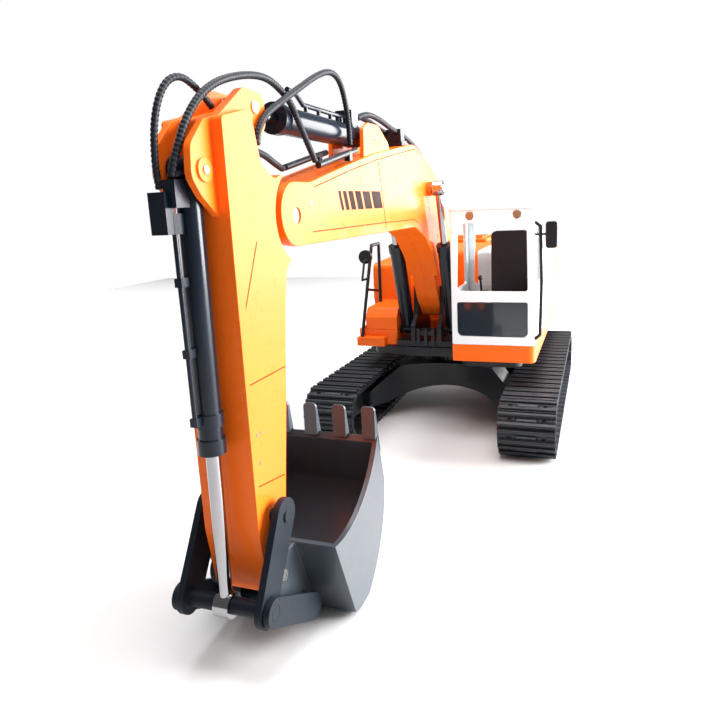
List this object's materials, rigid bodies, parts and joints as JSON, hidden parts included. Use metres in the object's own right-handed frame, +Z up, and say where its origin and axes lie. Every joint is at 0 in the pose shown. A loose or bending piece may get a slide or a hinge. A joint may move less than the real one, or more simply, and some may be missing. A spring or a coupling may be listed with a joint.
{
  "type": "toy excavator",
  "caption": "Remote-controlled toy tracked excavator with slewing body, hollow cab, three-piece digging arm with cylinders, hoses, curled toothed bucket and linked track belts.",
  "frame": {"origin": "on the ground under the middle of the toy's bounding box", "axes": "+X forward towards the bucket, +Y to the machine's left, +Z up"},
  "size_m": [0.5386, 0.195, 0.2549],
  "materials": {
    "orange_plastic": "moulded gloss orange",
    "white_plastic": "moulded gloss white",
    "black_plastic": "moulded satin black",
    "track_plastic": "matt black",
    "bucket_metal": "satin slate grey paint",
    "barrel_paint": "gloss blue-black",
    "rod_chrome": "polished",
    "pin_steel": "brushed",
    "dark_glass": "tinted",
    "hose_rubber": "ribbed",
    "lamp_lens": "clear",
    "battery_wrap": "shrink wrap",
    "circuit_green": "solder mask",
    "motor_steel": "plated can"
  },
  "bodies": {
    "undercarriage": {"chassis_frame": "black_plastic", "chassis_cover": "black_plastic", "slew_ring": "black_plastic", "left_track_belt": "track_plastic", "right_track_belt": "track_plastic", "left_track_frame": "black_plastic", "right_track_frame": "black_plastic", "drive_motors": "motor_steel"},
    "upper": {"turntable": "black_plastic", "boom_bracket": "black_plastic", "body_base": "orange_plastic", "right_body_box": "orange_plastic", "engine_housing": "orange_plastic", "left_side_panel": "white_plastic", "counterweight": "orange_plastic", "cab_shell": "white_plastic", "cab_roof": "white_plastic", "cab_glass": "dark_glass", "seat": "black_plastic", "control_levers": "black_plastic", "cab_handrail": "black_plastic", "cab_mirror": "black_plastic", "headlights": "lamp_lens", "right_handrail": "black_plastic", "exhaust": "black_plastic", "battery_pack": "battery_wrap", "circuit_board": "circuit_green", "slew_motor": "motor_steel"},
    "boom": {"boom_left_shell": "orange_plastic", "boom_right_shell": "orange_plastic", "boom_pins": "pin_steel", "boom_pipes": "black_plastic", "boom_motor": "motor_steel", "body_hoses": "hose_rubber"},
    "stick": {"stick_left_shell": "orange_plastic", "stick_right_shell": "orange_plastic", "stick_pins": "pin_steel", "bucket_motor": "motor_steel", "stick_hoses": "hose_rubber"},
    "boom_cylinder_rods": {"boom_cylinder_rods": "rod_chrome"},
    "boom_cylinder_barrels": {"boom_cylinder_barrels": "barrel_paint"},
    "arm_cylinder_rod": {"arm_cylinder_rod": "rod_chrome"},
    "arm_cylinder_barrel": {"arm_cylinder_barrel": "barrel_paint"},
    "bucket_cylinder_rod": {"bucket_cylinder_rod": "rod_chrome"},
    "bucket_cylinder_barrel": {"bucket_cylinder_barrel": "barrel_paint"},
    "rocker": {"rocker": "bucket_metal"},
    "bucket_link": {"bucket_link": "bucket_metal"},
    "bucket": {"bucket": "bucket_metal", "bucket_teeth": "bucket_metal"},
    "cab_door": {"cab_door": "white_plastic"},
    "engine_hood": {"engine_hood": "orange_plastic"},
    "power_switch": {"power_switch": "black_plastic"},
    "left_sprocket": {"left_sprocket": "black_plastic"},
    "left_idler": {"left_idler": "black_plastic"},
    "left_front_roller": {"left_front_roller": "black_plastic"},
    "left_rear_roller": {"left_rear_roller": "black_plastic"},
    "right_sprocket": {"right_sprocket": "black_plastic"},
    "right_idler": {"right_idler": "black_plastic"},
    "right_front_roller": {"right_front_roller": "black_plastic"},
    "right_rear_roller": {"right_rear_roller": "black_plastic"}
  },
  "joints": [
    {"name": "slew", "type": "hinge", "parent": "undercarriage", "child": "upper", "pos_m": [-0.1193, 0, 0.056], "axis": [0, 0, 1], "continuous": true},
    {"name": "boom_lift", "type": "hinge", "parent": "upper", "child": "boom", "pos_m": [-0.0933, -0.0155, 0.098], "axis": [0, -1, 0], "range_deg": [-25, 28], "deforming": ["body_hoses"]},
    {"name": "stick_swing", "type": "hinge", "parent": "boom", "child": "stick", "pos_m": [0.1954, -0.0155, 0.1849], "axis": [0, -1, 0], "range_deg": [-35, 18], "deforming": ["stick_hoses"]},
    {"name": "bucket_curl", "type": "hinge", "parent": "stick", "child": "bucket", "pos_m": [0.2377, -0.0155, 0.036], "axis": [0, -1, 0], "range_deg": [0, 90]},
    {"name": "boom_rod_pin", "type": "hinge", "parent": "boom", "child": "boom_cylinder_rods", "pos_m": [-0.0313, -0.0155, 0.1985], "axis": [0, -1, 0], "range_deg": [-2.81, 2.51]},
    {"name": "boom_cylinder_stroke", "type": "slide", "parent": "boom_cylinder_rods", "child": "boom_cylinder_barrels", "axis": [-0.3369, 0, -0.9416], "range_m": [-0.01074, 0.01202]},
    {"name": "arm_rod_pin", "type": "hinge", "parent": "stick", "child": "arm_cylinder_rod", "pos_m": [0.2187, -0.0155, 0.228], "axis": [0, -1, 0], "range_deg": [-14.45, 28.08]},
    {"name": "arm_cylinder_stroke", "type": "slide", "parent": "arm_cylinder_rod", "child": "arm_cylinder_barrel", "axis": [-1, 0, -0.0004], "range_m": [-0.01243, 0.02407]},
    {"name": "rocker_pivot", "type": "hinge", "parent": "stick", "child": "rocker", "pos_m": [0.2384, -0.0155, 0.0639], "axis": [0, -1, 0], "range_deg": [0, 47.89]},
    {"name": "link_pivot", "type": "hinge", "parent": "rocker", "child": "bucket_link", "pos_m": [0.2577, -0.0155, 0.033], "axis": [0, -1, 0], "range_deg": [-10.08, 0]},
    {"name": "bucket_rod_pin", "type": "hinge", "parent": "rocker", "child": "bucket_cylinder_rod", "pos_m": [0.2577, -0.0155, 0.033], "axis": [0, -1, 0], "range_deg": [-41.22, 0]},
    {"name": "bucket_cylinder_stroke", "type": "slide", "parent": "bucket_cylinder_rod", "child": "bucket_cylinder_barrel", "axis": [-0.0142, 0, 0.9999], "range_m": [-0.02355, 0.0001]},
    {"name": "left_sprocket_spin", "type": "hinge", "parent": "undercarriage", "child": "left_sprocket", "pos_m": [-0.239, 0.077, 0.022], "axis": [0, 1, 0], "continuous": true},
    {"name": "left_idler_spin", "type": "hinge", "parent": "undercarriage", "child": "left_idler", "pos_m": [0.0004, 0.077, 0.022], "axis": [0, 1, 0], "continuous": true},
    {"name": "left_front_roller_spin", "type": "hinge", "parent": "undercarriage", "child": "left_front_roller", "pos_m": [-0.0793, 0.077, 0.0111], "axis": [0, 1, 0], "continuous": true},
    {"name": "left_rear_roller_spin", "type": "hinge", "parent": "undercarriage", "child": "left_rear_roller", "pos_m": [-0.1593, 0.077, 0.0111], "axis": [0, 1, 0], "continuous": true},
    {"name": "right_sprocket_spin", "type": "hinge", "parent": "undercarriage", "child": "right_sprocket", "pos_m": [-0.239, -0.077, 0.022], "axis": [0, 1, 0], "continuous": true},
    {"name": "right_idler_spin", "type": "hinge", "parent": "undercarriage", "child": "right_idler", "pos_m": [0.0004, -0.077, 0.022], "axis": [0, 1, 0], "continuous": true},
    {"name": "right_front_roller_spin", "type": "hinge", "parent": "undercarriage", "child": "right_front_roller", "pos_m": [-0.0793, -0.077, 0.0111], "axis": [0, 1, 0], "continuous": true},
    {"name": "right_rear_roller_spin", "type": "hinge", "parent": "undercarriage", "child": "right_rear_roller", "pos_m": [-0.1593, -0.077, 0.0111], "axis": [0, 1, 0], "continuous": true},
    {"name": "cab_door_hinge", "type": "hinge", "parent": "upper", "child": "cab_door", "pos_m": [-0.0651, 0.0806, 0.127], "axis": [0, 0, 1], "range_deg": [0, 100]},
    {"name": "engine_hood_hinge", "type": "hinge", "parent": "upper", "child": "engine_hood", "pos_m": [-0.2223, 0, 0.1499], "axis": [0, -1, 0], "range_deg": [0, 75]},
    {"name": "power_switch_travel", "type": "slide", "parent": "upper", "child": "power_switch", "axis": [1, 0, 0], "range_m": [0, 0.006]}
  ],
  "couplings": [
    {"joint": "boom_rod_pin", "follows": "boom_lift", "ratio": -0.0996},
    {"joint": "boom_cylinder_stroke", "follows": "boom_lift", "m_per_rad": 0.02439},
    {"joint": "arm_rod_pin", "follows": "stick_swing", "ratio": -0.8017},
    {"joint": "arm_cylinder_stroke", "follows": "stick_swing", "m_per_rad": -0.03924},
    {"joint": "rocker_pivot", "follows": "bucket_curl", "ratio": 0.5319},
    {"joint": "link_pivot", "follows": "bucket_curl", "ratio": -0.1118},
    {"joint": "bucket_rod_pin", "follows": "bucket_curl", "ratio": -0.4578},
    {"joint": "bucket_cylinder_stroke", "follows": "bucket_curl", "m_per_rad": -0.01493},
    {"joint": "left_idler_spin", "follows": "left_sprocket_spin", "ratio": 1},
    {"joint": "left_front_roller_spin", "follows": "left_sprocket_spin", "ratio": 3.0769},
    {"joint": "left_rear_roller_spin", "follows": "left_sprocket_spin", "ratio": 3.0769},
    {"joint": "right_idler_spin", "follows": "right_sprocket_spin", "ratio": 1},
    {"joint": "right_front_roller_spin", "follows": "right_sprocket_spin", "ratio": 3.0769},
    {"joint": "right_rear_roller_spin", "follows": "right_sprocket_spin", "ratio": 3.0769}
  ]
}
